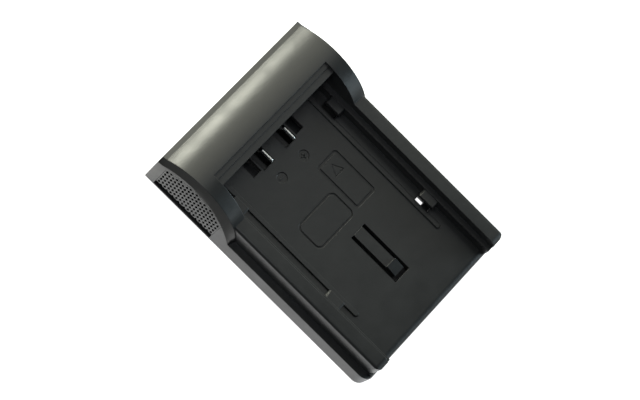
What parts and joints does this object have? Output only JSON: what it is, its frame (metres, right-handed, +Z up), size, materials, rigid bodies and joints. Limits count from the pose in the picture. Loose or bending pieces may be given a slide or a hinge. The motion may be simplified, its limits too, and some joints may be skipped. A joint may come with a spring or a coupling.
{
  "type": "camera battery charging plate",
  "caption": "Flat charging plate with a humped contact head, stepped rails with hooks, a sprung catch and perforated side vents; a camera battery slides in over its open end.",
  "frame": {"origin": "under the middle of the plate, on the surface that it rests on", "axes": "+Y towards the head with the contacts, +Z up out of the battery seat, +X to the right seen with the head away"},
  "size_m": [0.057, 0.08, 0.0209],
  "materials": {
    "deck_plastic": "satin moulded black",
    "cover_plastic": "fine matt black",
    "grille_plastic": "satin moulded black",
    "contact_plating": "bright nickel plating",
    "screw_steel": "black oxide",
    "block_plastic": "matt",
    "board_laminate": "black solder mask",
    "resistor_body": "ceramic with a dark glaze",
    "gold_plating": "thin gold plating"
  },
  "bodies": {
    "plate": {"deck_shell": "deck_plastic", "base_cover": "cover_plastic", "cover_screws": "screw_steel", "side_grille_left": "grille_plastic", "side_grille_right": "grille_plastic", "contact_blade_negative": "contact_plating", "contact_blade_positive": "contact_plating", "terminal_block": "block_plastic", "circuit_board": "board_laminate", "coding_resistors": "resistor_body", "docking_contacts": "gold_plating"},
    "catch": {"latch_finger": "deck_plastic"}
  },
  "joints": [
    {"name": "catch_flex", "type": "hinge", "parent": "plate", "child": "catch", "pos_m": [0, -0.01055, 0.0054], "axis": [1, 0, 0], "range_deg": [0, 5], "stiffness_Nm_per_rad": 0.3}
  ]
}
